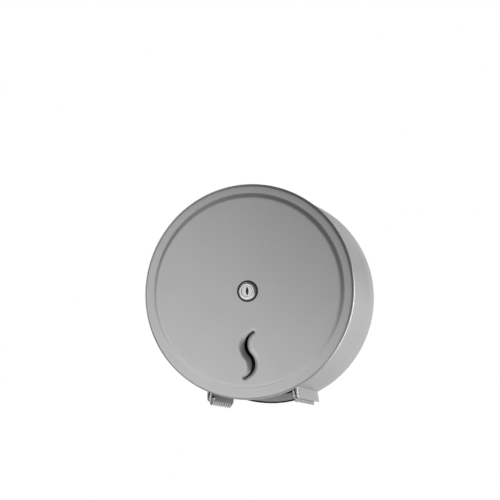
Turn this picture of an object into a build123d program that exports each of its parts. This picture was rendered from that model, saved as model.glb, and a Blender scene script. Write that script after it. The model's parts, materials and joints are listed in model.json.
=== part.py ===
from build123d import *
import os
from math import cos, radians, sin, sqrt

# Round wall-hung dispenser for one jumbo toilet roll. All sizes are in millimetres.
# The origin is the centre of the back plate's rear face, on the wall. +X is the viewer's right,
# +Y goes into the wall and +Z is up. A depth is measured forward from the wall: depth d is y = -d.

# ---- Case ----
cover_r = 135.0            # outer radius of the front panel's hem
case_depth = 125.0         # wall to the flat ring of the front panel
sheet = 1.2                # steel sheet of the cover
rim_radius = 4.0           # rounded rim between the flat ring and the hem
hem_length = 5.0           # how far the hem reaches back from the flat ring
seam_gap = 0.1             # between the hem's inside and the side band
panel_rise = 1.6           # the centre of the front panel stands proud of its ring
panel_crown = 1.2          # extra height at the middle of the raised centre
ring_width = 12.5          # flat ring, from the hem's outside to the foot of the step
step_width = 4.0           # from the foot to the top of the step
step_top_radius = 2.5      # bend at the top of the step
step_foot_radius = 1.0     # bend at the foot of the step
band_bend = 3.5            # outer bend between the side band and its front flange
band_flange = 6.2          # width of that flange, from the band's outside
cover_gap = 0.3            # between the back plate and the cover's rear edge

# ---- Sight slot in the front panel ----
slot_drop = 79.0           # the slot's middle, below the centre
slot_half_height = 28.0    # from its middle to each tip, along Z
slot_tip_shift = 5.8       # sideways place of each tip
slot_bulge = 4.6           # sideways reach of each bow
slot_bulge_height = 11.5   # height of each bow's widest point over the middle
slot_width = 5.0           # clear width
slot_lip = 5.0             # how far its pressed edge reaches back

# ---- Paper exit and tear combs ----
exit_half = 56.7           # centre to a flange's outer face, where it leaves the side band
exit_front = 6.0           # side band left standing in front of the exit
flange_lean = 7.5          # the flanges lean outward, in degrees
flange_drop = 13.2         # length of a flange below the side band; the teeth stand clear of it
flange_corner = 9.0        # rounded lower front corner of a flange
comb_thickness = 2.3
comb_gap = 1.9             # between a comb and its flange
comb_rise = 4.0            # how far a comb reaches up into the case
comb_setback = 1.0         # a comb's front end behind the flange's
comb_rear = 12.0           # depth of a comb's rear end
comb_drop = 18.1           # from the side band to the tooth tips
comb_corner = 6.0          # slanted corner of the front tooth, which reaches a comb's front end
tooth_height = 6.8
tooth_count = 9
tooth_front_inset = 8.0    # the front tooth's tip behind the comb's front end
tooth_rear_inset = 10.0    # the rear tooth's tip in front of its rear end
tooth_base = 5.4
tooth_tip = 1.6
comb_screw_drop = 8.7      # screw centre below the side band
comb_screw_inset = 6.6     # screw centre behind the comb's front end
comb_screw_r = 1.5
comb_head_r = 2.4
comb_head_height = 1.6
pad_r = 3.6                # spacer pads between comb and flange
rear_pad_inset = 8.0       # centre of the rear pad, in front of the comb's rear end

# ---- Back plate, base moulding and exit lip ----
plate_thickness = 1.5
plate_inset = 0.2          # the back plate is this much smaller in radius than the side band
wall_spacing = 120.0       # wall screw holes, centre to centre, both ways
wall_hole_r = 3.25
moulding_thickness = 2.5
moulding_height = 8.0      # rim and ribs, measured from the back plate
moulding_wall = 2.5        # rim thickness
rib_thickness = 2.0
rib_count = 12
rib_height = 3.0           # over the moulding's floor
access_r = 8.0             # holes in the moulding that reach the wall screws
boss_wall = 2.0            # rim around each of those holes
fit_gap = 0.3              # clearance between fixed pieces that sit side by side
lip_half = 50.0            # half width of the black exit lip
lip_thickness = 1.2
lip_reach = 1.5            # how far the lip's front leg covers the plate
small_screw_r = 1.6
small_head_r = 3.2
small_head_height = 1.8
screw_end_gap = 0.3        # screw ends stop this far short of the wall
head_round = 0.6           # rounding of a screw head, as a share of its height
moulding_screw_inset = 15.2
moulding_screw_count = 4

# ---- Spindle ----
post_r = 19.5
post_bore_r = 16.0
post_setback = 19.0        # the post's front end behind the front panel's flat ring
foot_thickness = 3.0
head_clear = 1.3           # from the thrust collar to the foot screws' heads
foot_edge = 2.3            # from those heads to the foot's edge
foot_screw_count = 4
collar_r = 24.0            # thrust collar behind the sleeve
collar_front = 11.7        # depth of its front face
sleeve_r = 21.5            # carries the roll's core
sleeve_flange_r = 26.0
sleeve_flange_thickness = 2.0
running_gap = 0.05         # radial clearance of shafts and pins
end_gap = 0.3              # axial clearance of the sleeve and the hinge knuckles
catch_r = 20.8
catch_thickness = 2.0
catch_screw_count = 3
catch_screw_r = 1.1
catch_head_r = 2.1
catch_head_height = 1.5
catch_screw_length = 12.0
catch_slot_round = 1.5     # corners of the catch plate's slot
catch_clear = 1.6          # play between the cam and that slot

# ---- Lock ----
barrel_r = 9.2
barrel_hole_gap = 0.1      # between the barrel and the hole in the front panel
gasket_r = 13.5
gasket_thickness = 0.6
bezel_r = 11.3
bezel_height = 1.6
bezel_edge = 0.8           # rounded edge of the bezel
plug_r = 6.8
plug_shoulder = 3.0        # the plug's wide part ends this far inside the barrel
plug_groove = 0.6          # the bezel's bore is this much wider at its mouth
plug_groove_depth = 0.8
plug_recess = 0.4          # plug face behind the bezel's face
barrel_clear = 1.5         # between the barrel's rear end and the catch plate
key_height = 9.6
key_width = 2.2
key_depth = 9.0
stem_r = 4.0
cam_clear = 2.0            # between the cam and the rear of the catch plate
cam_thickness = 2.0
cam_half = 4.0             # half width of the cam
cam_reach = 11.5           # lock axis to the cam's tip
cam_screw_r = 1.5
cam_head_r = 3.0
cam_head_height = 1.6
cam_screw_length = 8.0
nut_r = 14.0
nut_thickness = 4.0
nut_clear = 0.015          # the nut's corners clear the sloping panel by this much

# ---- Hinge ----
hinge_offset = 3.5         # hinge axis outside the hem's radius
hinge_depth = 4.0          # depth of the hinge axis
knuckle_r = 3.0
pin_r = 1.5
pin_head_r = 2.5
pin_head_height = 1.2
base_knuckle_half = 7.5
hinge_half = 22.0
leaf_thickness = 1.2
leaf_length = 21.0         # cover leaf, from its rear edge forward
leaf_rear = 9.0            # depth of the cover leaf's rear edge
leaf_foot = 15.0           # base leaf, from the knuckle inward
web_rise = 1.2             # the cover leaf's webs reach this far outside the hinge axis
notch_clear = 0.7          # side band's notch over the base leaf
rivet_r = 1.6
rivet_head_r = 2.6
rivet_head_height = 1.2
base_rivet_z = 4.0
cover_rivet_z = 15.0
rivet_edge = 5.0           # rivet centre to the leaf's edges

# ---- Sizes that follow ----
ring_r = cover_r - ring_width
panel_r = ring_r - step_width
band_r = cover_r - sheet - seam_gap
band_flange_r = band_r - band_flange
band_rear = plate_thickness + cover_gap
band_front = case_depth - sheet
plate_r = band_r - plate_inset
panel_depth = case_depth + panel_rise
crown_depth = panel_depth + panel_crown
hem_rear = case_depth - hem_length
exit_depth = case_depth - exit_front
comb_front = exit_depth - comb_setback
tooth_first = comb_front - tooth_front_inset
tooth_pitch = (tooth_first - comb_rear - tooth_rear_inset) / (tooth_count - 1)
exit_z = -sqrt(band_r**2 - exit_half**2)
comb_face = -(sheet + comb_gap)
gasket_front = crown_depth + gasket_thickness
bezel_front = gasket_front + bezel_height
plug_front = bezel_front - plug_recess
foot_front = plate_thickness + foot_thickness
foot_screw_circle = collar_r + head_clear + small_head_r
foot_r = foot_screw_circle + small_head_r + foot_edge
post_front = case_depth - post_setback
catch_front = post_front + catch_thickness
barrel_rear = catch_front + barrel_clear
panel_slope = panel_crown / (panel_r - barrel_r - barrel_hole_gap)
nut_seat = crown_depth - sheet - panel_slope * (nut_r - barrel_r) - nut_clear
cam_front = post_front - cam_clear
cam_depth = cam_front - cam_thickness      # the cam's rear face
sleeve_rear = collar_front + end_gap
sleeve_front = post_front - end_gap
hinge_x = -(cover_r + hinge_offset)
moulding_r = -hinge_x - leaf_foot - fit_gap
moulding_screw_circle = moulding_r - moulding_screw_inset
wall_half = wall_spacing / 2
overlap = 1.0                           # how far one shape runs into the next to join or cut it
ROUND = 2 * max(cover_r, case_depth)    # larger than the whole part


def y_cylinder(radius, rear, front, x=0.0, z=0.0):
    """A cylinder along the depth, between two depths."""
    place = Plane(origin=(x, -rear, z), x_dir=(1, 0, 0), z_dir=(0, -1, 0))
    return extrude(place * Circle(radius), front - rear)


def y_ring(inner, outer, rear, front, x=0.0, z=0.0):
    """A tube along the depth."""
    return y_cylinder(outer, rear, front, x, z) - y_cylinder(inner, rear, front, x, z)


def z_cylinder(radius, low, high, x, depth):
    """A cylinder along the vertical."""
    return extrude(Plane(origin=(x, -depth, low)) * Circle(radius), high - low)


def block(x, depth, z):
    """A box given as (low, high) pairs for X, depth and Z."""
    size = (x[1] - x[0], depth[1] - depth[0], z[1] - z[0])
    middle = ((x[0] + x[1]) / 2, -(depth[0] + depth[1]) / 2, (z[0] + z[1]) / 2)
    return Pos(*middle) * Box(*size)


def turned(outline):
    """The solid of revolution of closed (radius, depth) lines about the Y axis."""
    return revolve(make_face(outline), Axis.Y)


def corner_line(points, radii):
    """Open line through (radius, depth) points with rounded corners."""
    return FilletPolyline(*[(r, -d) for r, d in points], radius=radii)


def on_circle(count, radius, start=0.0):
    """Evenly spaced (x, z) places."""
    angles = [radians(start + 360.0 * i / count) for i in range(count)]
    return [(radius * cos(a), radius * sin(a)) for a in angles]


def y_screw(x, z, seat, shank_r, shank_end, head_r, head_height):
    """A round-headed screw along the depth: its head stands on the depth called seat."""
    head = y_cylinder(head_r, seat, seat + head_height, x, z)
    head = fillet(head.edges().group_by(Axis.Y)[0], head_height * head_round)
    return head + y_cylinder(shank_r, shank_end, seat, x, z)


# ---- Cover ----

def panel_line(inset):
    """The front panel's section, moved back into the sheet by inset. The raised centre is a
    flat cone."""
    return corner_line(
        [(barrel_r + barrel_hole_gap, crown_depth - inset), (panel_r, panel_depth - inset),
         (ring_r, case_depth - inset), (cover_r - inset, case_depth - inset),
         (cover_r - inset, hem_rear)],
        [step_top_radius - inset, step_foot_radius + inset, rim_radius - inset])


def slot_shape(width):
    """The S-shaped slot as a face on the XZ plane, with round ends."""
    tip = (slot_tip_shift, slot_half_height)
    bow = (-slot_bulge, slot_bulge_height)
    upper = ThreePointArc(tip, bow, (0, 0))
    lower = ThreePointArc((0, 0), (-bow[0], -bow[1]), (-tip[0], -tip[1]))
    outline = offset(Wire([upper.edge(), lower.edge()]), amount=width / 2, side=Side.BOTH)
    return Plane(origin=(0, 0, -slot_drop), x_dir=(1, 0, 0), z_dir=(0, -1, 0)) * make_face(outline)


def front_panel():
    outer = panel_line(0.0)
    inner = panel_line(sheet)
    panel = turned([outer, inner, Line(outer @ 0, inner @ 0), Line(outer @ 1, inner @ 1)])
    lip = Pos(0, -crown_depth, 0) * extrude(slot_shape(slot_width + 2 * sheet), -slot_lip)
    cut = slot_lip + 2 * overlap
    hole = Pos(0, -crown_depth - overlap, 0) * extrude(slot_shape(slot_width), -cut)
    front_cut = y_cylinder(cover_r, panel_depth - sheet / 2, crown_depth + overlap)
    return panel + (lip - front_cut) - hole


def in_exit_frame(shape):
    """Puts a shape drawn on the right flange's own axes in place: X outward, Z up the flange."""
    return Pos(exit_half, 0, exit_z) * Rot(0, -flange_lean, 0) * shape


def rounded_front(shape, low, front):
    """Cuts the lower front corner of a plate round."""
    r = flange_corner
    corner = block((-ROUND, ROUND), (front - r, front + overlap), (low - overlap, low + r))
    arc = Pos(0, -(front - r), low + r) * Rot(0, 90, 0) * Cylinder(r, 2 * ROUND)
    return shape - (corner - arc)


def side_band():
    corner = [(band_r, band_rear), (band_r, band_front), (band_flange_r, band_front)]
    inner = [(band_r - sheet, band_rear), (band_r - sheet, band_front - sheet),
             (band_flange_r, band_front - sheet)]
    outside = corner_line(corner, [band_bend])
    inside = corner_line(inner, [band_bend - sheet])
    band = turned([outside, inside, Line(outside @ 0, inside @ 0), Line(outside @ 1, inside @ 1)])
    half = exit_half - sheet / 2
    band -= block((-half, half), (0, exit_depth), (-ROUND, exit_z / 2))
    flange = block((-sheet, 0), (band_rear, exit_depth), (-flange_drop, sheet))
    flange = in_exit_frame(rounded_front(flange, -flange_drop, exit_depth))
    flange -= comb_screw_hole(comb_screw_r)
    band = band + flange + mirror(flange, Plane.YZ)
    notch_front = plate_thickness + leaf_thickness + notch_clear
    notch = base_knuckle_half + notch_clear
    band -= block((-ROUND, 0), (0, notch_front), (-notch, notch))
    return band - cover_rivet_bores()


def comb_screw_hole(radius):
    """The bore of the right comb's screw, through comb, pad and flange."""
    depth = comb_front - comb_screw_inset
    length = 4 * (comb_thickness + comb_gap + sheet)
    bore = Pos(0, -depth, -comb_screw_drop) * Rot(0, 90, 0) * Cylinder(radius, length)
    return in_exit_frame(bore)


def comb_outline():
    """The comb's outline as (depth, height) points, from its upper front corner."""
    tip = -comb_drop
    root = tip + tooth_height
    points = [(comb_front, comb_rise), (comb_front, tip + comb_corner), (comb_front - comb_corner, tip),
              (tooth_first - tooth_tip / 2, tip), (tooth_first - tooth_base / 2, root)]
    for i in range(1, tooth_count):
        centre = tooth_first - i * tooth_pitch
        points += [(centre + tooth_base / 2, root), (centre + tooth_tip / 2, tip),
                   (centre - tooth_tip / 2, tip), (centre - tooth_base / 2, root)]
    return points + [(comb_rear, root), (comb_rear, comb_rise)]


def comb_right():
    """A toothed plate with two spacer pads on its outer face."""
    outline = Polyline(*[(-d, z) for d, z in comb_outline()], close=True)
    face_plane = Plane(origin=(comb_face - comb_thickness, 0, 0), x_dir=(0, 1, 0), z_dir=(1, 0, 0))
    plate = extrude(face_plane * make_face(outline), comb_thickness)
    pads = Part()
    for depth in (comb_front - comb_screw_inset, comb_rear + rear_pad_inset):
        pad = Pos(comb_face + comb_gap / 2, -depth, -comb_screw_drop)
        pads += pad * Rot(0, 90, 0) * Cylinder(pad_r, comb_gap)
    return in_exit_frame(plate + pads) - comb_screw_hole(comb_screw_r)


def comb_screws():
    """One screw through each comb, its head on the comb's inner face."""
    inner = comb_face - comb_thickness
    depth = comb_front - comb_screw_inset
    shank = Pos(inner / 2, -depth, -comb_screw_drop) * Rot(0, 90, 0) * Cylinder(comb_screw_r, -inner)
    head_x = inner - comb_head_height / 2
    head = Pos(head_x, -depth, -comb_screw_drop) * Rot(0, 90, 0) * Cylinder(comb_head_r, comb_head_height)
    head = fillet(head.edges().group_by(Axis.X)[0], comb_head_height * head_round)
    right = in_exit_frame(head + shank)
    return [right, mirror(right, Plane.YZ)]


# ---- Base ----

def wall_places():
    return [(x, z) for x in (-wall_half, wall_half) for z in (-wall_half, wall_half)]


def foot_screw_places():
    return on_circle(foot_screw_count, foot_screw_circle, 45.0)


def moulding_screw_places():
    return on_circle(moulding_screw_count, moulding_screw_circle)


def back_plate():
    plate = y_cylinder(plate_r, 0, plate_thickness)
    inner = band_r - lip_thickness
    rebate = y_ring(inner, cover_r, 0, plate_thickness)
    plate -= rebate & block((-lip_half, lip_half), (0, plate_thickness), (-ROUND, 0))
    for x, z in wall_places():
        plate -= y_cylinder(wall_hole_r, 0, plate_thickness, x, z)
    for x, z in foot_screw_places() + moulding_screw_places():
        plate -= y_cylinder(small_screw_r, 0, plate_thickness, x, z)
    for x, z in base_rivet_places():
        plate -= y_cylinder(rivet_r, 0, plate_thickness, x, z)
    return plate


def exit_lip():
    """A black edge guard that clips over the plate's rim between the combs."""
    inner = band_r - lip_thickness
    wrap = y_ring(inner, band_r, 0, plate_thickness)
    front_leg = y_ring(inner - lip_reach, band_r, plate_thickness, plate_thickness + lip_thickness)
    return (wrap + front_leg) & block((-lip_half, lip_half), (0, case_depth), (-ROUND, 0))


def base_moulding():
    """A dished disc with a rim, ribs and access to the wall screws."""
    floor = plate_thickness + moulding_thickness
    top = plate_thickness + moulding_height
    body = y_cylinder(moulding_r, plate_thickness, floor)
    body += y_ring(moulding_r - moulding_wall, moulding_r, plate_thickness, top)
    hub = foot_r + fit_gap
    body += y_ring(hub, hub + moulding_wall, plate_thickness, top)
    for i in range(rib_count):
        rib = block((hub + overlap, moulding_r - overlap), (plate_thickness, floor + rib_height),
                    (-rib_thickness / 2, rib_thickness / 2))
        body += Rot(0, 360.0 * (i + 0.5) / rib_count, 0) * rib
    for x, z in wall_places():
        body += y_cylinder(access_r + boss_wall, plate_thickness, floor + rib_height, x, z)
    body -= y_cylinder(hub, 0, case_depth)
    for x, z in wall_places():
        body -= y_cylinder(access_r, 0, case_depth, x, z)
    for x, z in moulding_screw_places():
        body -= y_cylinder(small_screw_r, 0, case_depth, x, z)
    return body


def moulding_screws():
    seat = plate_thickness + moulding_thickness
    return [y_screw(x, z, seat, small_screw_r, screw_end_gap, small_head_r, small_head_height)
            for x, z in moulding_screw_places()]


def spindle_post():
    """A hollow post with a foot flange and a thrust collar."""
    post = y_cylinder(foot_r, plate_thickness, foot_front)
    post += y_cylinder(collar_r, plate_thickness, collar_front)
    post += y_cylinder(post_r, plate_thickness, post_front)
    post -= y_cylinder(post_bore_r, 0, post_front)
    for x, z in foot_screw_places():
        post -= y_cylinder(small_screw_r, 0, foot_front, x, z)
    for x, z in catch_screw_places():
        post -= y_cylinder(catch_screw_r, catch_front - catch_screw_length, post_front, x, z)
    return post


def post_screws():
    return [y_screw(x, z, foot_front, small_screw_r, screw_end_gap, small_head_r, small_head_height)
            for x, z in foot_screw_places()]


def catch_screw_places():
    return on_circle(catch_screw_count, (post_r + post_bore_r) / 2, 90.0)


def catch_plate():
    """Closes the post. The lock's cam goes through its slot, which is wider on the hinge side,
    because the cover swings the cam that way as it opens."""
    plate = y_cylinder(catch_r, post_front, catch_front)
    travel = catch_front - cam_depth
    swing = travel * (cam_depth - hinge_depth) / -hinge_x
    left = -(cam_half + swing + catch_clear)
    slot = block((left, cam_half + catch_clear), (post_front, catch_front),
                 (-cam_reach - catch_clear, cam_half + catch_clear))
    slot = fillet(slot.edges().filter_by(Axis.Y), catch_slot_round)
    plate -= slot
    for x, z in catch_screw_places():
        plate -= y_cylinder(catch_screw_r, post_front, catch_front, x, z)
    return plate


def catch_screws():
    end = catch_front - catch_screw_length
    return [y_screw(x, z, catch_front, catch_screw_r, end, catch_head_r, catch_head_height)
            for x, z in catch_screw_places()]


def spindle_sleeve():
    sleeve = y_cylinder(sleeve_r, sleeve_rear, sleeve_front)
    sleeve += y_cylinder(sleeve_flange_r, sleeve_rear, sleeve_rear + sleeve_flange_thickness)
    return sleeve - y_cylinder(post_r + running_gap, sleeve_rear, sleeve_front)


# ---- Hinge ----

def base_rivet_places():
    x = hinge_x + leaf_foot - rivet_edge
    return [(x, -base_rivet_z), (x, base_rivet_z)]


def hinge_base_leaf():
    """A foot on the back plate with the middle knuckle."""
    half = base_knuckle_half
    foot = block((hinge_x, hinge_x + leaf_foot), (plate_thickness, plate_thickness + leaf_thickness),
                 (-half, half))
    leaf = foot + z_cylinder(knuckle_r, -half, half, hinge_x, hinge_depth)
    leaf -= z_cylinder(pin_r, -half, half, hinge_x, hinge_depth)
    for x, z in base_rivet_places():
        leaf -= y_cylinder(rivet_r, 0, case_depth, x, z)
    return leaf


def base_leaf_rivets():
    seat = plate_thickness + leaf_thickness
    return [y_screw(x, z, seat, rivet_r, 0.0, rivet_head_r, rivet_head_height)
            for x, z in base_rivet_places()]


def hinge_pin():
    end = hinge_half + end_gap
    pin = z_cylinder(pin_r, -end, end, hinge_x, hinge_depth)
    pin += z_cylinder(pin_head_r, end, end + pin_head_height, hinge_x, hinge_depth)
    return pin + z_cylinder(pin_head_r, -end - pin_head_height, -end, hinge_x, hinge_depth)


def cover_rivet_places():
    """(depth, z) of the rivets that hold the cover leaf."""
    depths = (leaf_rear + rivet_edge, leaf_rear + leaf_length - rivet_edge)
    return [(d, z) for d in depths for z in (-cover_rivet_z, cover_rivet_z)]


def rivet_along_x(radius, depth, z):
    """A cylinder through the left wall of the side band, along X."""
    return Pos(-band_r, -depth, z) * Rot(0, 90, 0) * Cylinder(radius, 2 * hinge_offset)


def cover_rivet_bores():
    bores = Part()
    for depth, z in cover_rivet_places():
        bores += rivet_along_x(rivet_r, depth, z)
    return bores


def hinge_cover_leaf():
    """A curved leaf on the band's outside with the two outer knuckles."""
    outer = band_r + leaf_thickness
    front = leaf_rear + leaf_length
    low = base_knuckle_half + end_gap
    inside = sheet - sqrt(band_r**2 - hinge_half**2)
    leaf = y_ring(band_r, outer, leaf_rear, front)
    leaf &= block((-ROUND, 0), (0, case_depth), (-hinge_half, hinge_half))
    for z in ((low, hinge_half), (-hinge_half, -low)):
        web = block((hinge_x, inside), (hinge_depth, leaf_rear + leaf_thickness), z)
        web &= y_cylinder(-hinge_x + web_rise, 0, case_depth)
        leaf += web - y_cylinder(band_r, 0, case_depth)
        leaf += z_cylinder(knuckle_r, z[0], z[1], hinge_x, hinge_depth)
        leaf -= z_cylinder(pin_r + running_gap, z[0], z[1], hinge_x, hinge_depth)
    return leaf - cover_rivet_bores()


def cover_leaf_rivets():
    """Rivets with a head on the leaf and a head inside the band."""
    rivets = []
    outer = band_r + leaf_thickness
    for depth, z in cover_rivet_places():
        span = y_cylinder(outer + rivet_head_height, 0, case_depth)
        span -= y_cylinder(band_r - sheet - rivet_head_height, 0, case_depth)
        wall = y_ring(band_r - sheet, outer, 0, case_depth)
        heads = (rivet_along_x(rivet_head_r, depth, z) & span) - wall
        rivets.append(heads + (rivet_along_x(rivet_r, depth, z) & span))
    return rivets


# ---- Lock ----

def lock_gasket():
    return y_ring(barrel_r + barrel_hole_gap, gasket_r, crown_depth, gasket_front)


def lock_barrel():
    """The fixed housing with its round bezel."""
    bezel = y_cylinder(bezel_r, gasket_front, bezel_front)
    bezel = fillet(bezel.edges().group_by(Axis.Y)[0], bezel_edge)
    barrel = bezel + y_cylinder(barrel_r, barrel_rear, gasket_front)
    barrel -= y_cylinder(plug_r + plug_groove, bezel_front - plug_groove_depth, bezel_front)
    return barrel - y_cylinder(plug_r + running_gap, barrel_rear, bezel_front)


def lock_nut():
    place = Plane(origin=(0, -(nut_seat - nut_thickness), 0), x_dir=(1, 0, 0), z_dir=(0, -1, 0))
    nut = extrude(place * RegularPolygon(nut_r, 6), nut_thickness)
    return nut - y_cylinder(barrel_r, 0, crown_depth)


def lock_plug():
    """The turning plug with its key slot and the stem that carries the cam."""
    plug = y_cylinder(plug_r, barrel_rear + plug_shoulder, plug_front)
    plug += y_cylinder(stem_r, cam_front, barrel_rear + plug_shoulder)
    half_width = key_width / 2
    half_height = key_height / 2
    plug -= block((-half_width, half_width), (plug_front - key_depth, plug_front),
                  (-half_height, half_height))
    return plug - y_cylinder(cam_screw_r, cam_front, cam_depth + cam_screw_length)


def lock_cam():
    """A tongue that hangs down when the lock is open."""
    reach = cam_reach - cam_half
    cam = y_cylinder(cam_half, cam_depth, cam_front)
    cam += y_cylinder(cam_half, cam_depth, cam_front, 0, -reach)
    cam += block((-cam_half, cam_half), (cam_depth, cam_front), (-reach, 0))
    return cam - y_cylinder(cam_screw_r, cam_depth, cam_front)


def cam_screw():
    head = y_cylinder(cam_head_r, cam_depth - cam_head_height, cam_depth)
    head = fillet(head.edges().group_by(Axis.Y)[-1], cam_head_height * head_round)
    return head + y_cylinder(cam_screw_r, cam_depth, cam_depth + cam_screw_length)


right_comb = comb_right()
nodes = {
    "back_plate": back_plate(),
    "base_moulding": base_moulding(),
    "moulding_screws": moulding_screws(),
    "exit_lip": exit_lip(),
    "spindle_post": spindle_post(),
    "post_screws": post_screws(),
    "spindle_sleeve": spindle_sleeve(),
    "catch_plate": catch_plate(),
    "catch_screws": catch_screws(),
    "hinge_base_leaf": hinge_base_leaf(),
    "base_leaf_rivets": base_leaf_rivets(),
    "hinge_pin": hinge_pin(),
    "front_panel": front_panel(),
    "side_band": side_band(),
    "comb_right": right_comb,
    "comb_left": mirror(right_comb, Plane.YZ),
    "comb_screws": comb_screws(),
    "hinge_cover_leaf": hinge_cover_leaf(),
    "cover_leaf_rivets": cover_leaf_rivets(),
    "lock_gasket": lock_gasket(),
    "lock_barrel": lock_barrel(),
    "lock_nut": lock_nut(),
    "lock_plug": lock_plug(),
    "lock_cam": lock_cam(),
    "cam_screw": cam_screw(),
}

os.makedirs("parts", exist_ok=True)
for name, shape in nodes.items():
    if isinstance(shape, list):
        shape = Compound(children=[solid for piece in shape for solid in piece.solids()])
    export_step(shape, f"parts/{name}.step")
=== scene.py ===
import json
import math

import bmesh
import bpy
from mathutils import Matrix, Vector


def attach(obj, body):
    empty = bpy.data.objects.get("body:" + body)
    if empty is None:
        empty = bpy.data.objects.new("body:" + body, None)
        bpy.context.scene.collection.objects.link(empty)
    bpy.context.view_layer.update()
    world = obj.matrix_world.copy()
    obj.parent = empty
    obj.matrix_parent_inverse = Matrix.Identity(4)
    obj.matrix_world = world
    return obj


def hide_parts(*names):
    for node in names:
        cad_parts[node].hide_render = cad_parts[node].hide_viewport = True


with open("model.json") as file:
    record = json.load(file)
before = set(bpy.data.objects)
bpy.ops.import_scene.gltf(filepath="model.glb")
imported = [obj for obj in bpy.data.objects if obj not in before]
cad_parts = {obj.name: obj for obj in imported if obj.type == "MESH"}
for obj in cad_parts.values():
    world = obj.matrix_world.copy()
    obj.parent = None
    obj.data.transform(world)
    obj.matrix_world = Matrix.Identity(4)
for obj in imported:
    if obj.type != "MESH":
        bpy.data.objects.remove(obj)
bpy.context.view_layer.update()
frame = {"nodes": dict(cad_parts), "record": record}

MM = 0.001
FRONT = Vector((0, -1, 0))      # out of the wall, towards the room
ACROSS = Vector((1, 0, 0))
UP = Vector((0, 0, 1))

# Sizes in millimetres, as built. Depth is measured forward from the wall, so depth d is y = -d.
HEM_R = 135.0
BAND_R = 133.7
SHEET = 1.2
RING_DEPTH = 125.0              # flat ring of the front pressing
FACE_DEPTH = 126.6              # top of the step, where the raised centre starts
CROWN = 1.2                     # the raised centre bulges this much more
FACE_R = 118.5
STEP_FOOT_R = 122.5
HEM_REAR = 120.0
BAND_REAR = 1.8
BAND_FRONT = 123.8
EXIT_HALF = 56.7
EXIT_DEPTH = 119.0
LEAN = math.radians(7.5)
FLANGE_DROP = 13.2
FLANGE_CORNER = 9.0             # rounded lower front corner of an exit flange
EXIT_Z = -math.sqrt(BAND_R**2 - EXIT_HALF**2)


# ---- Small helpers for meshes ----

def at(x, depth, z):
    return Vector((x, -depth, z)) * MM


def row_of_edges(bm, points):
    """A chain of edges through points given as (x, depth, z) in millimetres."""
    verts = [bm.verts.new(at(*p)) for p in points]
    return verts + [bm.edges.new(pair) for pair in zip(verts, verts[1:])]


def round_corner(bm, vert, reach, segments):
    """Rounds one corner of a chain; the bend starts this far from the corner, in millimetres."""
    bmesh.ops.bevel(bm, geom=[vert], offset=reach * MM, segments=segments, profile=0.5,
                    affect="VERTICES", material=-1)


def rounded_row(bm, corners):
    """A chain through (x, depth, z, reach, segments) corners. A reach of 0 keeps a corner sharp."""
    row_of_edges(bm, [c[:3] for c in corners])
    bm.verts.ensure_lookup_table()
    bends = [(v, c) for v, c in zip(list(bm.verts), corners) if c[3] > 0]
    for vert, corner in bends:
        round_corner(bm, vert, corner[3], corner[4])
    return list(bm.verts) + list(bm.edges)


def turn(bm, geom, centre, degrees, steps, merge=False, axis=FRONT):
    """Sweeps a section round a centre; seen from the front, plus is anticlockwise."""
    swept = bmesh.ops.spin(bm, geom=geom, cent=centre, axis=axis, angle=math.radians(degrees),
                           steps=steps, use_merge=merge)
    return swept["geom_last"]


def push(bm, edges, move):
    """Extends a section in a straight line and gives the new section."""
    made = bmesh.ops.extrude_edge_only(bm, edges=[e for e in edges if isinstance(e, bmesh.types.BMEdge)])
    new = made["geom"]
    bmesh.ops.translate(bm, verts=[v for v in new if isinstance(v, bmesh.types.BMVert)], vec=move)
    last = set(v for v in new if isinstance(v, bmesh.types.BMVert))
    return [g for g in new if g in last or (isinstance(g, bmesh.types.BMEdge) and set(g.verts) <= last)]


def join(bm, part):
    """Adds one bmesh to another."""
    mesh = bpy.data.meshes.new("part")
    part.to_mesh(mesh)
    part.free()
    bm.from_mesh(mesh)
    bpy.data.meshes.remove(mesh)


def lathe(bm, section, steps=64, x=0.0, z=0.0, closed=False):
    """Turns a (radius, depth, reach of its rounding) section round a line along the depth. A section
    that is not closed starts and ends on that line."""
    part = bmesh.new()
    row_of_edges(part, [(x + r, depth, z) for r, depth, reach in section])
    part.verts.ensure_lookup_table()
    if closed:
        part.edges.new((part.verts[-1], part.verts[0]))
    for vert, (r, depth, reach) in zip(list(part.verts), section):
        if reach:
            round_corner(part, vert, reach, 5)
    turn(part, list(part.verts) + list(part.edges), at(x, 0, z), 360, steps, merge=True)
    bmesh.ops.remove_doubles(part, verts=part.verts, dist=0.002 * MM)
    join(bm, part)


def slab(bm, outline, rear, front):
    """A flat piece between two depths, from a closed outline of (x, z, reach of its rounding) corners."""
    part = bmesh.new()
    row_of_edges(part, [(x, rear, z) for x, z, reach in outline])
    part.verts.ensure_lookup_table()
    part.edges.new((part.verts[-1], part.verts[0]))
    for vert, (x, z, reach) in zip(list(part.verts), outline):
        if reach:
            round_corner(part, vert, reach, 6)
    bmesh.ops.contextual_create(part, geom=list(part.edges))
    made = bmesh.ops.extrude_face_region(part, geom=list(part.faces), use_keep_orig=True)
    bmesh.ops.translate(part, verts=[v for v in made["geom"] if isinstance(v, bmesh.types.BMVert)],
                        vec=FRONT * (front - rear) * MM)
    join(bm, part)


def cut_across(bm, faces, axis, where, near):
    """Cuts some faces along a plane square to an axis; where and near are in millimetres."""
    edges = list({e for f in faces for e in f.edges})
    verts = list({v for f in faces for v in f.verts})
    bmesh.ops.bisect_plane(bm, geom=faces + edges + verts, dist=near * MM, plane_co=axis * where * MM,
                           plane_no=axis)


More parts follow.
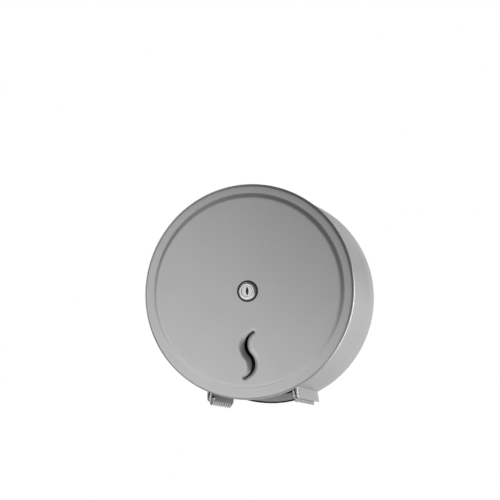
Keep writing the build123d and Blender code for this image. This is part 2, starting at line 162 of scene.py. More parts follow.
def cross_recess(part, radius, height):
    """Presses a cross into a screw's head, for a screwdriver."""
    arm, reach = 0.17 * radius, 0.62 * radius
    for axis in (ACROSS, UP):
        for where in (-reach, -arm, arm, reach):
            top = [f for f in part.faces if f.calc_center_median().y < -0.4 * height * MM]
            cut_across(part, top, axis, where, 0.001)
    inside = []
    for face in part.faces:
        middle = face.calc_center_median() / MM
        near, far = sorted((abs(middle.x), abs(middle.z)))
        if middle.y < -0.4 * height and near < arm and far < reach:
            inside.append(face)
    made = bmesh.ops.extrude_face_region(part, geom=inside)
    floor = [v for v in made["geom"] if isinstance(v, bmesh.types.BMVert)]
    bmesh.ops.translate(part, verts=floor, vec=-FRONT * 0.6 * height * MM)
    bmesh.ops.scale(part, verts=floor, vec=(0.75, 1, 0.75))


def button(bm, place, radius, height, shank, length, cross=False):
    """A round-headed screw or rivet; it is made standing on the origin and a matrix puts it in place."""
    part = bmesh.new()
    lathe(part, [(0, height, 0), (0.62 * radius, height, 0.45 * radius),
                 (radius, 0.4 * height, 0.25 * height), (radius, 0, 0), (shank, 0, 0),
                 (shank, -length, 0), (0, -length, 0)], 32)
    if cross:
        cross_recess(part, radius, height)
    bmesh.ops.transform(part, matrix=place, verts=part.verts)
    join(bm, part)


def make_piece(bm, name, body, slot, node=None, wall=0.0, edge=0.0, sharp=35, finish=None):
    """Closes a bmesh into a piece that rides on a CAD body and stands for a CAD node."""
    bmesh.ops.remove_doubles(bm, verts=bm.verts, dist=0.002 * MM)
    bmesh.ops.recalc_face_normals(bm, faces=bm.faces)
    mesh = bpy.data.meshes.new(name)
    bm.to_mesh(mesh)
    bm.free()
    mesh.set_sharp_from_angle(angle=math.radians(sharp))
    piece = bpy.data.objects.new(name, mesh)
    bpy.context.scene.collection.objects.link(piece)
    if wall:
        sheet = piece.modifiers.new("sheet", "SOLIDIFY")
        sheet.thickness = wall * MM
        sheet.offset = -1
        sheet.use_even_offset = True
    if edge:
        soft = piece.modifiers.new("edges", "BEVEL")
        soft.width = edge * MM
        soft.segments = 2
        soft.limit_method = "ANGLE"
        soft.angle_limit = math.radians(sharp)
        soft.harden_normals = False
    mesh.materials.append(FINISH[finish or slot])
    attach(piece, body)
    if node:
        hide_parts(node)
    return piece


# ---- Materials ----

def linear(hex_colour):
    """sRGB hex to the linear colour that a shader takes."""
    parts = [int(hex_colour[i:i + 2], 16) / 255 for i in (1, 3, 5)]
    return [p / 12.92 if p <= 0.04045 else ((p + 0.055) / 1.055) ** 2.4 for p in parts] + [1.0]


def add(tree, kind, values=None, links=None, **settings):
    """Adds a node with its settings, its sockets' values and its links."""
    node = tree.nodes.new(kind)
    for name, value in settings.items():
        setattr(node, name, value)
    for key, value in (values or {}).items():
        node.inputs[key].default_value = value
    for key, socket in (links or {}).items():
        tree.links.new(socket, node.inputs[key])
    return node


def grained(name, dark, light, stretch, roughness, spread, dent, metallic=1.0, cloud_mm=45.0, **shader):
    """A surface with grain: stretch is the grain's size in millimetres along X, Y and Z."""
    material = bpy.data.materials.new(name)
    material.use_nodes = True
    tree = material.node_tree
    tree.nodes.clear()
    place = add(tree, "ShaderNodeTexCoord").outputs["Object"]
    scaled = add(tree, "ShaderNodeMapping", {"Scale": [1 / (s * MM) for s in stretch]},
                 {"Vector": place}).outputs["Vector"]
    grain = add(tree, "ShaderNodeTexNoise", {"Scale": 1.0, "Detail": 4.0, "Roughness": 0.6},
                {"Vector": scaled}).outputs["Fac"]
    cloud = add(tree, "ShaderNodeTexNoise", {"Scale": 1 / (cloud_mm * MM), "Detail": 2.0},
                {"Vector": place}).outputs["Fac"]
    both = add(tree, "ShaderNodeMath", {}, {0: grain, 1: cloud}, operation="ADD").outputs[0]
    colour = add(tree, "ShaderNodeValToRGB", {}, {"Fac": grain})
    colour.color_ramp.elements[0].position = 0.3
    colour.color_ramp.elements[1].position = 0.7
    colour.color_ramp.elements[0].color = linear(dark)
    colour.color_ramp.elements[1].color = linear(light)
    rough = add(tree, "ShaderNodeMapRange", {"From Min": 0.6, "From Max": 1.4,
                                             "To Min": roughness - spread, "To Max": roughness + spread},
                {"Value": both}).outputs["Result"]
    bump = add(tree, "ShaderNodeBump", {"Strength": 1.0, "Distance": dent * MM}, {"Height": grain})
    surface = add(tree, "ShaderNodeBsdfPrincipled", {"Metallic": metallic, **shader},
                  {"Base Color": colour.outputs["Color"], "Roughness": rough,
                   "Normal": bump.outputs["Normal"]})
    add(tree, "ShaderNodeOutputMaterial", {}, {"Surface": surface.outputs["BSDF"]})
    return material


def comb_steel():
    """Comb steel with painted shade: its inner faces, where the paper hangs, are coloured dark grey as shade;
    the outer faces keep the plain steel colour.
    """
    material = grained("comb_steel_with_painted_shade", "#B6B6B6", "#BCBCBC", (0.5, 12.0, 0.5), 0.42, 0.05, 0.002)
    tree = material.node_tree
    coords = add(tree, "ShaderNodeTexCoord").outputs
    place = add(tree, "ShaderNodeSeparateXYZ", {}, {"Vector": coords["Object"]}).outputs
    facing = add(tree, "ShaderNodeSeparateXYZ", {}, {"Vector": coords["Normal"]}).outputs
    side = add(tree, "ShaderNodeMath", {}, {0: place["X"]}, operation="SIGN").outputs[0]
    away = add(tree, "ShaderNodeMath", {}, {0: facing["X"], 1: side}, operation="MULTIPLY").outputs[0]
    unshaded_share = add(tree, "ShaderNodeMapRange", {"From Min": -0.8, "From Max": -0.5}, {"Value": away}).outputs[0]
    surface = tree.nodes["Principled BSDF"]
    steel = surface.inputs["Base Color"].links[0].from_socket
    # Painted shade: faces that look inward, towards the paper exit, take this dark grey instead of the steel
    # colour.
    mixed = add(tree, "ShaderNodeMix", {6: linear("#6C6C6C")}, {0: unshaded_share, 7: steel}, data_type="RGBA")
    tree.links.new(mixed.outputs[2], surface.inputs["Base Color"])
    return material


FINISH = {
    # Satin stainless steel, polished with fine abrasive: soft wide reflections, faint upright grain.
    "satin_steel": grained("satin_stainless_steel", "#B8B8B8", "#BCBCBC", (0.35, 0.35, 22.0),
                           0.38, 0.02, 0.0002),
    # Plain mill-finished stainless steel: pale and even, a little duller than the polished cover.
    "plain_steel": grained("mill_stainless_steel", "#BEBEBE", "#C8C8C8", (0.6, 0.6, 9.0), 0.44, 0.04, 0.0012),
    # Hardened steel of the tear combs, with ground marks along it: plain steel outside, painted shade as a
    # dark colour on the inner faces.
    "comb_steel": comb_steel(),
    # Moulded black ABS: fine spark texture from the mould, dull with a soft sheen at an angle.
    "black_abs": grained("moulded_black_abs", "#161616", "#1D1D1D", (0.5, 0.5, 0.5), 0.55, 0.06, 0.012,
                         0.0, IOR=1.5),
    # Moulded grey ABS of the turning sleeve: smoother, lightly polished by the cardboard core.
    "grey_abs": grained("moulded_grey_abs", "#8E8F91", "#97989A", (0.5, 3.0, 0.5), 0.42, 0.06, 0.008,
                        0.0, IOR=1.5),
    # Black nitrile rubber of the lock's washer: dull, slightly dusty.
    "black_rubber": grained("black_nitrile_rubber", "#232323", "#2E2E2E", (0.3, 0.3, 0.3), 0.6, 0.05, 0.01,
                            0.0, IOR=1.5),
    # Bright chrome plate on the lock: nearly mirror-like, with a few hairline marks.
    "chrome": grained("chrome_plate", "#C6C6C7", "#CECECF", (0.2, 0.2, 2.0), 0.16, 0.03, 0.0004),
    # Zinc plate on screws, nut and small fittings: pale, slightly cloudy grey.
    "zinc_steel": grained("zinc_plated_steel", "#A9ABAD", "#BABCBE", (0.8, 0.8, 0.8), 0.36, 0.08, 0.002),
}

for node_name, cad_object in frame["nodes"].items():
    row = next(p for p in frame["record"]["subparts"] if p["node"] == node_name)
    cad_object.data.materials.clear()
    cad_object.data.materials.append(FINISH[row["material_slot"]])


# ---- Front pressing: raised centre, step, flat ring, rounded rim and hem ----

SLOT_MIDDLE = -79.0
BOW_CENTRE = Vector((13.06, 11.895))    # centre of the upper bow's arc, from the slot's middle
BOW_R = BOW_CENTRE.length
BOW_START = math.degrees(math.atan2(-BOW_CENTRE.y, -BOW_CENTRE.x)) % 360
BOW_END = math.radians(114.3)
BOW_SWEEP = BOW_START - math.degrees(BOW_END)       # from the slot's middle to its tip
SLOT_TIP = BOW_CENTRE + BOW_R * Vector((math.cos(BOW_END), math.sin(BOW_END)))
SLOT_HALF = 2.0                         # half the clear width at the slot's middle
SLOPE = (3.2, 3.0)                      # the pressed edge falls 3 mm over 3.6 mm
ROLL = 4.0                              # its bend starts this far outside that slope
LIP = 1.6                               # and it ends in a short straight wall
TAPER = 0.48                            # the rolled edge narrows by this share towards the tips
SHARP_TIPS = 0.55                       # and the clear width by this share


def slot_point(p):
    return at(p.x, FACE_DEPTH, SLOT_MIDDLE + p.y)


def nearest_on_s(p):
    """Nearest point of the slot's S-shaped middle line, and how far along to a tip it is (0 to 1)."""
    sign = 1 if p.x * 0.673 - p.y * 0.740 < 0 else -1
    q = (p * sign) - BOW_CENTRE
    angle = math.degrees(math.atan2(q.y, q.x)) % 360
    share = min(1.0, max(0.0, (BOW_START - angle) / BOW_SWEEP))
    angle = math.radians(BOW_START - BOW_SWEEP * share)
    foot = BOW_CENTRE + BOW_R * Vector((math.cos(angle), math.sin(angle)))
    return foot * sign, share


def slot_roll(bm):
    """The rolled edge of the sight slot: its section is swept along the four bows and round both tips."""
    away = (SLOT_TIP - BOW_CENTRE).normalized()
    hole = SLOT_TIP + away * SLOT_HALF
    bend = SLOT_TIP + away * (SLOT_HALF + SLOPE[0])
    top = SLOT_TIP + away * (SLOT_HALF + SLOPE[0] + ROLL + 0.5)
    rounded_row(bm, [(hole.x, FACE_DEPTH - SLOPE[1] - LIP, SLOT_MIDDLE + hole.y, 0, 0),
                     (hole.x, FACE_DEPTH - SLOPE[1], SLOT_MIDDLE + hole.y, 0.4, 3),
                     (bend.x, FACE_DEPTH, SLOT_MIDDLE + bend.y, ROLL, 10),
                     (top.x, FACE_DEPTH, SLOT_MIDDLE + top.y, 0, 0)])
    section = list(bm.verts) + list(bm.edges)
    bow = BOW_SWEEP
    for centre, degrees, steps in ((BOW_CENTRE, bow, 22), (-BOW_CENTRE, -bow, 22), (-SLOT_TIP, 180, 20),
                                   (-BOW_CENTRE, bow, 22), (BOW_CENTRE, -bow, 22), (SLOT_TIP, 180, 20)):
        section = turn(bm, section, slot_point(centre), degrees, steps)
    bmesh.ops.remove_doubles(bm, verts=bm.verts, dist=0.01 * MM)
    for v in bm.verts:
        p = Vector((v.co.x / MM, v.co.z / MM - SLOT_MIDDLE))
        foot, share = nearest_on_s(p)
        ease = max(0.0, (share - 0.3) / 0.7)
        ease = ease * ease * (3 - 2 * ease)
        keep = 1 - TAPER * ease
        away = p - foot
        far = SLOT_HALF * (1 - SHARP_TIPS * ease) + (away.length - SLOT_HALF) * keep
        narrowed = foot + away.normalized() * far
        v.co.x = narrowed.x * MM
        v.co.z = (narrowed.y + SLOT_MIDDLE) * MM
        v.co.y = -FACE_DEPTH * MM + (v.co.y + FACE_DEPTH * MM) * keep


def on_flat(vert):
    """Whether a vertex lies on the face before it is crowned."""
    return abs(vert.co.y + FACE_DEPTH * MM) < 0.01 * MM


def front_pressing():
    """The face is filled between the slot's rolled edge and the step, cut into small cells and crowned."""
    bm = bmesh.new()
    slot_roll(bm)
    outline = bmesh.new()
    rounded_row(outline, [(115.0, FACE_DEPTH, 0, 0, 0), (FACE_R, FACE_DEPTH, 0, 1.6, 6),
                          (STEP_FOOT_R, RING_DEPTH, 0, 1.4, 6), (HEM_R, RING_DEPTH, 0, 4.0, 8),
                          (HEM_R, HEM_REAR, 0, 0, 0)])
    turn(outline, list(outline.verts) + list(outline.edges), (0, 0, 0), 360, 192, merge=True)
    join(bm, outline)
    on_face = [e for e in bm.edges if len(e.link_faces) == 1 and all(on_flat(v) for v in e.verts)]
    bmesh.ops.triangle_fill(bm, use_beauty=True, use_dissolve=False, edges=on_face, normal=FRONT)
    for axis in (ACROSS, UP):
        for i in range(-17, 18):
            cells = [f for f in bm.faces if all(on_flat(v) for v in f.verts)
                     and f.calc_center_median().xz.length < 115 * MM]
            cut_across(bm, cells, axis, 6.6 * i + 0.37, 0.02)
    for v in bm.verts:
        r = v.co.xz.length / MM
        if r < FACE_R:
            v.co.y -= CROWN * (1 - (r / FACE_R) ** 2) * MM
    return make_piece(bm, "front_pressing", "cover", "satin_steel", "front_panel", wall=SHEET, sharp=50)


# ---- Side band: one strip wrapped round the case, bent out at the paper exit ----

def flange(bm, row, x, z, drop):
    """Lengthens the wall downward, with its lower front corner rounded."""
    below = drop - FLANGE_CORNER
    last = 0.0
    for i in range(9):
        angle = math.radians(90 * i / 8)
        height = below + FLANGE_CORNER * math.sin(angle)
        row = push(bm, row, at(x, 0, z) * (height - last))
        last = height
        for v in row:
            if isinstance(v, bmesh.types.BMVert):
                v.co.y = max(v.co.y, -(EXIT_DEPTH - FLANGE_CORNER * (1 - math.cos(angle))) * MM)


def side_wrap():
    """The wall is swept from the right exit flange over the top to the left one."""
    bend = 1.6                                      # outside radius of the bend into a flange
    along = Vector((math.sin(LEAN), -math.cos(LEAN)))
    out = Vector((math.cos(LEAN), math.sin(LEAN)))
    edge = Vector((EXIT_HALF, EXIT_Z))
    offset = edge.dot(out) + bend
    reach = math.sqrt((BAND_R + bend) ** 2 - offset ** 2)
    centre = out * offset + along * reach
    start = math.degrees(math.atan2(centre.y, centre.x))
    foot = centre - out * bend
    drop = edge.dot(along) + FLANGE_DROP - foot.dot(along)
    turned = math.degrees(math.acos(max(-1, min(1, Vector((math.sin(math.radians(start)),
                                                           -math.cos(math.radians(start)))).dot(along)))))
    bm = bmesh.new()
    first = row_of_edges(bm, [(foot.x, d, foot.y) for d in (BAND_REAR, 30.0, 60.0, 90.0, 110.0, EXIT_DEPTH)])
    flange(bm, first, along.x, along.y, drop)
    section = turn(bm, first, at(centre.x, 0, centre.y), -turned, 8)
    sweep = 180 - 2 * start
    last = turn(bm, section, (0, 0, 0), sweep, 156)
    other = turn(bm, last, at(-centre.x, 0, centre.y), -turned, 8)
    flange(bm, other, -along.x, along.y, drop)
    for v in bm.verts:
        if v.co.x < -BAND_R / 2 * MM and abs(v.co.z) < 8.3 * MM and v.co.y > -2 * MM:
            v.co.y = -3.4 * MM          # notch over the hinge's leaf
    return bm, start, sweep


def side_band():
    bm, start, sweep = side_wrap()
    section = bmesh.new()
    rounded_row(section, [(127.5, BAND_FRONT, 0, 0, 0), (BAND_R, BAND_FRONT, 0, 3.5, 6),
                          (BAND_R, EXIT_DEPTH, 0, 0, 0)])
    bmesh.ops.rotate(section, verts=section.verts, cent=(0, 0, 0),
                     matrix=Matrix.Rotation(math.radians(start), 3, FRONT))
    whole = list(section.verts) + list(section.edges)
    last = turn(section, whole, (0, 0, 0), sweep, 156)
    turn(section, last, (0, 0, 0), 360 - sweep, 28)
    join(bm, section)
    bmesh.ops.remove_doubles(bm, verts=bm.verts, dist=0.01 * MM)
    return make_piece(bm, "side_wrap", "cover", "satin_steel", "side_band", wall=SHEET, sharp=50)


front_pressing()
side_band()


# ---- Tear combs beside the paper exit ----

COMB_FACE = -3.1                # comb's outer face, from the flange's outer face
COMB_THICK = 2.3
COMB_SCREW = (111.4, -8.7)      # depth and height of its screw on the flange's own axes


def on_flange(side):
    """Matrix from a flange's own axes, X outward and Z up the flange, to its place."""
    lean = Matrix.Translation(at(EXIT_HALF, 0, EXIT_Z)) @ Matrix.Rotation(-LEAN, 4, "Y")
    return Matrix.Diagonal((side, 1, 1, 1)) @ lean


def comb(side, name):
    """A toothed plate: nine pointed teeth, ground to an edge on the side where the paper hangs. The
    front one is wider and reaches the plate's front end."""
    rise, root, tip = 4.0, -11.3, -17.7
    front, rear, first, pitch, corner = 118.0, 12.0, 110.0, 11.0, 6.0
    point, waist, foot = 0.4, 1.3, 2.6      # half a tooth's width at its tip, above it and at its root
    outline = [(front, rise, 1.5), (front, tip + corner, 2.5), (front - corner, tip, 2.5),
               (first - point, tip, 0), (first - waist, tip + 2, 0.6), (first - foot, root, 0.8)]
    for i in range(1, 9):
        middle = first - i * pitch
        outline += [(middle + foot, root, 0.8), (middle + waist, tip + 2, 0.6), (middle + point, tip, 0),
                    (middle - point, tip, 0), (middle - waist, tip + 2, 0.6), (middle - foot, root, 0.8)]
    outline[-2:] = [(rear, root + 1.5, 1.5), (rear, rise, 1.5)]
    bm = bmesh.new()
    slab(bm, outline, COMB_FACE - COMB_THICK, COMB_FACE)
    upright = Matrix(((0, -1, 0, 0), (-1, 0, 0, 0), (0, 0, 1, 0), (0, 0, 0, 1)))
    bmesh.ops.transform(bm, matrix=upright, verts=bm.verts)
    bmesh.ops.bisect_plane(bm, geom=list(bm.verts) + list(bm.edges) + list(bm.faces), dist=0.001 * MM,
                           plane_co=at(0, 0, root + 1.5), plane_no=UP)
    for v in bm.verts:
        if v.co.x < (COMB_FACE - 1) * MM and v.co.z < (tip + 0.1) * MM:
            v.co.x += 1.6 * MM
    for depth in (COMB_SCREW[0], 20.0):
        pad = bmesh.new()
        lathe(pad, [(0, 0, 0), (3.6, 0, 0), (3.6, 1.9, 0), (0, 1.9, 0)], 32)
        place = Matrix.Translation(at(COMB_FACE, depth, COMB_SCREW[1]))
        bmesh.ops.transform(pad, matrix=place @ Matrix.Rotation(math.pi / 2, 4, "Z"), verts=pad.verts)
        join(bm, pad)
    bmesh.ops.transform(bm, matrix=on_flange(side), verts=bm.verts)
    make_piece(bm, name, "cover", "plain_steel", name, edge=0.2, sharp=30, finish="comb_steel")


def comb_screws():
    bm = bmesh.new()
    inner = COMB_FACE - COMB_THICK
    head = Matrix.Translation(at(inner, COMB_SCREW[0], COMB_SCREW[1])) @ Matrix.Rotation(-math.pi / 2, 4, "Z")
    for side in (1, -1):
        button(bm, on_flange(side) @ head, 2.9, 2.6, 1.5, -inner, cross=True)
    make_piece(bm, "comb_screw_heads", "cover", "zinc_steel", "comb_screws", sharp=40)


comb(1, "comb_right")
comb(-1, "comb_left")
comb_screws()


# ---- Lock: rubber washer, chromed housing, turning plug with its key slot, cam and nut ----

CROWN_DEPTH = FACE_DEPTH + CROWN
GASKET_FRONT = CROWN_DEPTH + 0.6
BEZEL_FRONT = GASKET_FRONT + 1.6
BARREL_REAR = 109.5
CAM_FRONT = 104.0
CAM_REAR = 102.0
BARREL_R = 9.2
BEZEL_R = 11.3
WASHER_R = 13.5
WASHER_BORE = 9.3
PLUG_R = 6.8
PLUG_BORE = 6.85                        # of the housing round the plug
PLUG_FACE = BEZEL_FRONT - 0.4
KEY_HALF_HEIGHT = 5.6
KEY_HALF_WIDTH = 1.8


def lock():
    bm = bmesh.new()
    lathe(bm, [(WASHER_BORE, CROWN_DEPTH, 0), (WASHER_R, CROWN_DEPTH, 0), (WASHER_R, GASKET_FRONT, 0.4),
               (WASHER_BORE, GASKET_FRONT, 0)], 96, closed=True)
    make_piece(bm, "rubber_washer", "cover", "black_rubber", "lock_gasket")
    bm = bmesh.new()
    lathe(bm, [(PLUG_BORE, BARREL_REAR, 0), (BARREL_R, BARREL_REAR, 0.5), (BARREL_R, GASKET_FRONT, 0),
               (BEZEL_R, GASKET_FRONT, 0.1), (BEZEL_R, GASKET_FRONT + 0.5, 0.3), (9.9, BEZEL_FRONT, 1.1),
               (7.4, BEZEL_FRONT, 0.15), (7.4, BEZEL_FRONT - 0.8, 0), (PLUG_BORE, BEZEL_FRONT - 0.8, 0)],
          128, closed=True)
    make_piece(bm, "lock_housing", "cover", "chrome", "lock_barrel", sharp=40)
    plug()
    bm = bmesh.new()
    seat, thick = CROWN_DEPTH - SHEET - 0.1, 4.0
    lathe(bm, [(BARREL_R, seat - thick, 0), (12.6, seat - thick, 0), (14.0, seat - thick + 0.6, 0),
               (14.0, seat - 0.6, 0), (12.6, seat, 0), (BARREL_R, seat, 0)], 6, closed=True)
    make_piece(bm, "lock_ring_nut", "cover", "zinc_steel", "lock_nut", edge=0.25, sharp=25)
    bm = bmesh.new()
    slab(bm, [(4, 4, 3.9), (-4, 4, 3.9), (-4, -11.5, 3.9), (4, -11.5, 3.9)], CAM_REAR, CAM_FRONT)
    make_piece(bm, "lock_tongue", "lock", "zinc_steel", "lock_cam", edge=0.3, sharp=30)
    bm = bmesh.new()
    back = Matrix.Translation(at(0, CAM_REAR, 0)) @ Matrix.Rotation(math.pi, 4, "Z")
    button(bm, back, 3.0, 1.6, 1.5, 8.0, cross=True)
    make_piece(bm, "tongue_screw", "lock", "zinc_steel", "cam_screw", sharp=40)


def plug():
    """The plug's face is filled between its rim and the key slot, and the slot's wall goes inward."""
    bow = (KEY_HALF_HEIGHT ** 2 + KEY_HALF_WIDTH ** 2) / (2 * KEY_HALF_WIDTH)
    sweep = 2 * math.degrees(math.asin(KEY_HALF_HEIGHT / bow))
    bm = bmesh.new()
    slot = bm.verts.new(at(0, PLUG_FACE, -KEY_HALF_HEIGHT))
    arc = turn(bm, [slot], at(KEY_HALF_WIDTH - bow, PLUG_FACE, 0), sweep, 12)
    turn(bm, arc, at(bow - KEY_HALF_WIDTH, PLUG_FACE, 0), sweep, 12)
    bmesh.ops.remove_doubles(bm, verts=bm.verts, dist=0.002 * MM)
    rim = list(bm.edges)
    upright = Matrix.Translation(at(0, PLUG_FACE, 0)) @ Matrix.Rotation(math.pi / 2, 4, "X")
    edge = bmesh.ops.create_circle(bm, cap_ends=False, segments=96, radius=(PLUG_R - 0.35) * MM,
                                   matrix=upright)
    outer = list({e for v in edge["verts"] for e in v.link_edges})
    bmesh.ops.triangle_fill(bm, use_beauty=True, use_dissolve=False, edges=rim + outer, normal=FRONT)
    push(bm, rim, at(0, -9.0, 0))
    side = bmesh.new()
    for r, depth in ((PLUG_R - 0.35, PLUG_FACE), (PLUG_R - 0.1, PLUG_FACE - 0.1), (PLUG_R, PLUG_FACE - 0.35),
                     (PLUG_R, BARREL_REAR), (4.0, BARREL_REAR), (4.0, CAM_FRONT), (0.0, CAM_FRONT)):
        side.verts.new(at(r, depth, 0))
    side.verts.ensure_lookup_table()
    for a, b in zip(list(side.verts), list(side.verts)[1:]):
        side.edges.new((a, b))
    turn(side, list(side.verts) + list(side.edges), (0, 0, 0), 360, 96, merge=True)
    join(bm, side)
    make_piece(bm, "lock_key_plug", "lock", "chrome", "lock_plug", sharp=15)
    # A black sheet just behind the key slot: painted shade standing in for the dark depth of the keyway.
    bm = bmesh.new()
    slab(bm, [(KEY_HALF_WIDTH, KEY_HALF_HEIGHT, 0), (-KEY_HALF_WIDTH, KEY_HALF_HEIGHT, 0),
              (-KEY_HALF_WIDTH, -KEY_HALF_HEIGHT, 0), (KEY_HALF_WIDTH, -KEY_HALF_HEIGHT, 0)],
         PLUG_FACE - 1.0, PLUG_FACE - 0.5)
    make_piece(bm, "keyway_painted_shade", "lock", "black_abs")


lock()


# ---- Black edge guard over the plate's rim at the paper exit ----

def exit_lip():
    """A hooked strip: its section is swept along the plate's rim, and both its ends are closed."""
    bm = bmesh.new()
    inner, middle, outer = 131.7, 132.5, 133.7
    section = [(inner, 1.5, 0.1), (middle, 1.5, 0.1), (middle, 0.0, 0.1), (outer, 0.0, 0.3),
               (outer, 2.3, 0.4), (inner, 2.3, 0.2)]
    half = math.degrees(math.asin(50.0 / BAND_R))
    row_of_edges(bm, [(r, depth, 0) for r, depth, reach in section])
    bm.verts.ensure_lookup_table()
    bm.edges.new((bm.verts[-1], bm.verts[0]))
    for vert, (r, depth, reach) in zip(list(bm.verts), section):
        round_corner(bm, vert, reach, 3)
    bmesh.ops.rotate(bm, verts=bm.verts, cent=(0, 0, 0),
                     matrix=Matrix.Rotation(math.radians(270 - half), 3, FRONT))
    first = list(bm.verts) + list(bm.edges)
    ends = [e for e in first if isinstance(e, bmesh.types.BMEdge)]
    last = turn(bm, first, (0, 0, 0), 2 * half, 40)
    bmesh.ops.contextual_create(bm, geom=ends)
    bmesh.ops.contextual_create(bm, geom=[e for e in last if isinstance(e, bmesh.types.BMEdge)])
    make_piece(bm, "edge_guard", "base", "black_abs", "exit_lip", sharp=50)


exit_lip()


# ---- Spindle: post, turning sleeve, and the screws and rivets ----

def on_circle(count, radius, start):
    """Evenly spaced (x, z) places."""
    turns = [math.radians(start + 360 * i / count) for i in range(count)]
    return [(radius * math.cos(a), radius * math.sin(a)) for a in turns]


FASTENERS = {
    # node: (piece, places, depth of the seat, head's radius and height, shank's radius and length, cross)
    "moulding_screws": ("moulding_screw_heads", on_circle(4, 108.0, 0), 4.0, 3.2, 1.8, 1.6, 3.7, True),
    "post_screws": ("foot_screw_heads", on_circle(4, 28.5, 45), 4.5, 3.2, 1.8, 1.6, 4.2, True),
    "catch_screws": ("catch_screw_heads", on_circle(3, 17.75, 90), 108.0, 2.1, 1.5, 1.1, 12.0, True),
    "base_leaf_rivets": ("leaf_rivet_heads", [(-128.5, -4), (-128.5, 4)], 2.7, 2.6, 1.2, 1.6, 2.7, False),
}


def fasteners():
    """Screws and rivets along the depth; each is turned a little from the one before it."""
    for node, (name, places, seat, radius, height, shank, length, cross) in FASTENERS.items():
        bm = bmesh.new()
        for i, (x, z) in enumerate(places):
            spot = Matrix.Translation(at(x, seat, z)) @ Matrix.Rotation(0.7 * i, 4, "Y")
            button(bm, spot, radius, height, shank, length, cross)
        make_piece(bm, name, "base", "zinc_steel", node, sharp=40)


def spindle():
    """The grey sleeve with its collar, and the black post with its foot inside it."""
    bm = bmesh.new()
    lathe(bm, [(19.55, 12.0, 0), (26.0, 12.0, 0.6), (26.0, 14.0, 0.6), (21.5, 14.0, 0.8),
               (21.5, 105.7, 1.2), (19.55, 105.7, 0)], 128, closed=True)
    make_piece(bm, "turning_sleeve", "spindle", "grey_abs", "spindle_sleeve", sharp=40)
    bm = bmesh.new()
    lathe(bm, [(16.0, 1.5, 0), (34.0, 1.5, 0), (34.0, 4.5, 0.8), (24.0, 4.5, 1.2), (24.0, 11.7, 0.6),
               (19.5, 11.7, 0.3), (19.5, 106.0, 0.3), (16.0, 106.0, 0.4)], 128, closed=True)
    make_piece(bm, "hollow_post", "base", "black_abs", "spindle_post", sharp=40)


spindle()
fasteners()


# ---- Camera, at the photograph's place ----

AZIMUTH, ELEVATION, ROLL_ANGLE = 14.41, -5.62, -1.38    # degrees, fitted to the rim and the outline
DISTANCE = 3.0                                          # metres
LENS = 170.0
SHIFT = (-0.0224, 0.092)                                # the case sits low and left of the middle


def camera():
    azimuth, elevation, roll = (math.radians(a) for a in (AZIMUTH, ELEVATION, ROLL_ANGLE))
    back = Vector((math.sin(azimuth) * math.cos(elevation), -math.cos(azimuth) * math.cos(elevation),
                   math.sin(elevation)))
    level = (-back).cross(UP).normalized()
    over = level.cross(-back)
    right = level * math.cos(roll) + over * math.sin(roll)
    up = over * math.cos(roll) - level * math.sin(roll)
    data = bpy.data.cameras.new("camera")
    data.sensor_width = 36.0
    data.lens = LENS
    data.shift_x, data.shift_y = SHIFT
    data.clip_start, data.clip_end = 0.1, 50.0
    eye = bpy.data.objects.new("camera", data)
    bpy.context.scene.collection.objects.link(eye)
    place = Matrix((right, up, back)).transposed().to_4x4()
    place.translation = at(0, 60, 0) + back * DISTANCE
    eye.matrix_world = place
    bpy.context.scene.camera = eye


# ---- Stage: pale floor, white backdrop, grey surroundings, soft lamps ----

def pale_surface(name, hex_colour, white):
    """Plain matt paint. White is how strongly the camera, metal and glass see it as pure white."""
    material = bpy.data.materials.new(name)
    material.use_nodes = True
    tree = material.node_tree
    tree.nodes.clear()
    place = add(tree, "ShaderNodeTexCoord").outputs["Object"]
    mottle = add(tree, "ShaderNodeTexNoise", {"Scale": 3.0, "Detail": 3.0}, {"Vector": place}).outputs["Fac"]
    tone = add(tree, "ShaderNodeMapRange", {"To Min": 0.97, "To Max": 1.03}, {"Value": mottle})
    paint = add(tree, "ShaderNodeMix", {0: 1.0, 6: linear(hex_colour)}, {7: tone.outputs["Result"]},
                data_type="RGBA", blend_type="MULTIPLY")
    matt = add(tree, "ShaderNodeBsdfDiffuse", {"Roughness": 0.5}, {"Color": paint.outputs[2]}).outputs["BSDF"]
    path = add(tree, "ShaderNodeLightPath").outputs
    seen = path["Is Camera Ray"]
    for kind in ("Is Glossy Ray", "Is Transmission Ray"):
        seen = add(tree, "ShaderNodeMath", {}, {0: seen, 1: path[kind]}, operation="MAXIMUM").outputs[0]
    share = add(tree, "ShaderNodeMath", {1: white}, {0: seen}, operation="MULTIPLY").outputs[0]
    glow = add(tree, "ShaderNodeEmission", {"Color": (1, 1, 1, 1), "Strength": 1.0}).outputs["Emission"]
    mixed = add(tree, "ShaderNodeMixShader", {}, {0: share, 1: matt, 2: glow}).outputs["Shader"]
    add(tree, "ShaderNodeOutputMaterial", {}, {"Surface": mixed})
    return material


def stage_plane(name, width, height, centre, upright, material):
    bm = bmesh.new()
    bmesh.ops.create_grid(bm, x_segments=1, y_segments=1, size=0.5)
    bmesh.ops.scale(bm, verts=bm.verts, vec=(width, height, 1))
    if upright:
        bmesh.ops.rotate(bm, verts=bm.verts, cent=(0, 0, 0), matrix=Matrix.Rotation(math.pi / 2, 3, "X"))
    bmesh.ops.translate(bm, verts=bm.verts, vec=centre)
    mesh = bpy.data.meshes.new(name)
    bm.to_mesh(mesh)
    bm.free()
    mesh.materials.append(material)
    plane = bpy.data.objects.new(name, mesh)
    bpy.context.scene.collection.objects.link(plane)


WORLD_LIGHT = 0.16
FLOOR_WHITE = 0.4               # the floor is seen as pale, though little light reaches it


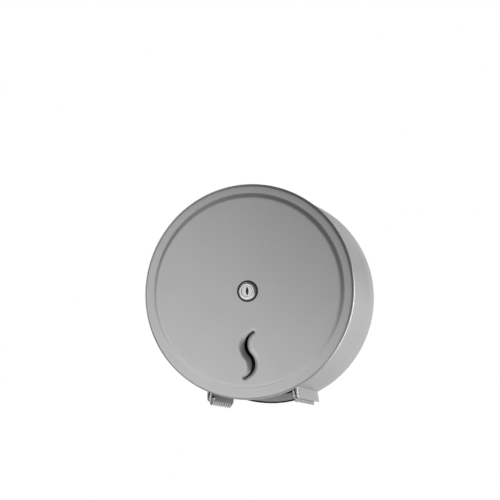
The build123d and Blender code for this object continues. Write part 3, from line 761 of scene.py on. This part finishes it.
def stage():
    stage_plane("floor", 9.0, 9.0, (0, 0, -2.2), False,
                pale_surface("pale_floor_paint", "#E4E4E4", FLOOR_WHITE))
    stage_plane("backdrop", 3.6, 2.8, (-0.77, 3.0, 0.1), True,
                pale_surface("white_backdrop_paper", "#F0F0F0", 1.0))
    world = bpy.data.worlds.new("studio")
    bpy.context.scene.world = world
    world.use_nodes = True
    tree = world.node_tree
    tree.nodes.clear()
    grey = add(tree, "ShaderNodeBackground", {"Color": (1, 1, 1, 1), "Strength": WORLD_LIGHT}).outputs[0]
    add(tree, "ShaderNodeOutputWorld", {}, {"Surface": grey})


LAMPS = {
    # name: (x, y, z, width and height in metres, roll in degrees, watts), each aimed at the case
    "face_low": (-0.76, -1.9, -0.2, 1.3, 1.3, 55, 1.5),
    "face_left": (-0.94, -1.83, 0.07, 1.3, 1.3, 15, 3.0),
    "face_wide": (-1.05, -1.76, 0.03, 1.3, 1.3, 15, 0.6),
    "left_soft": (-1.70, -1.09, -0.24, 1.3, 1.3, 15, 2.5),
    "left_under": (-1.17, -1.3, -1.04, 1.3, 1.3, 55, 3.3),
    "left_over": (-1.11, -0.7, 1.53, 1.4, 1.4, 0, 2.0),
    "left_behind": (-1.78, 0.7, 0.52, 1.4, 1.4, 0, 6.0),
    "front_under": (0.0, -1.94, -0.68, 1.4, 1.4, 0, 4.7),
    "front_low_right": (0.75, -1.5, -1.15, 1.1, 1.1, 0, 0.9),
    "right_low_front": (0.9, -1.7, -0.55, 0.9, 0.9, 0, 0.5),
    "right_side": (2.0, -0.06, 0.0, 0.9, 0.9, 0, 1.0),
    "right_behind": (1.64, 1.09, 0.0, 0.9, 0.9, 0, 10.4),
    "right_mid_behind": (1.45, 1.25, -0.5, 1.0, 1.0, 0, 3.1),
    "right_low_behind": (1.45, 0.9, -0.95, 1.0, 1.0, 0, 7.0),
    "under_behind": (0.0, 0.69, -1.07, 0.9, 0.9, 0, 1.0),
}


def lamps():
    for name, (x, y, z, width, height, roll, watts) in LAMPS.items():
        data = bpy.data.lights.new(name, "AREA")
        data.shape = "RECTANGLE"
        data.size, data.size_y = width, height
        data.energy = watts
        lamp = bpy.data.objects.new(name, data)
        bpy.context.scene.collection.objects.link(lamp)
        lamp.location = (x, y, z)
        lamp.visible_camera = False
        aim = (at(0, 60, 0) - lamp.location).to_track_quat("-Z", "Y").to_matrix()
        lamp.rotation_euler = (aim @ Matrix.Rotation(math.radians(roll), 3, "Z")).to_euler()


camera()
stage()
lamps()

bpy.context.scene.view_settings.view_transform = "Standard"
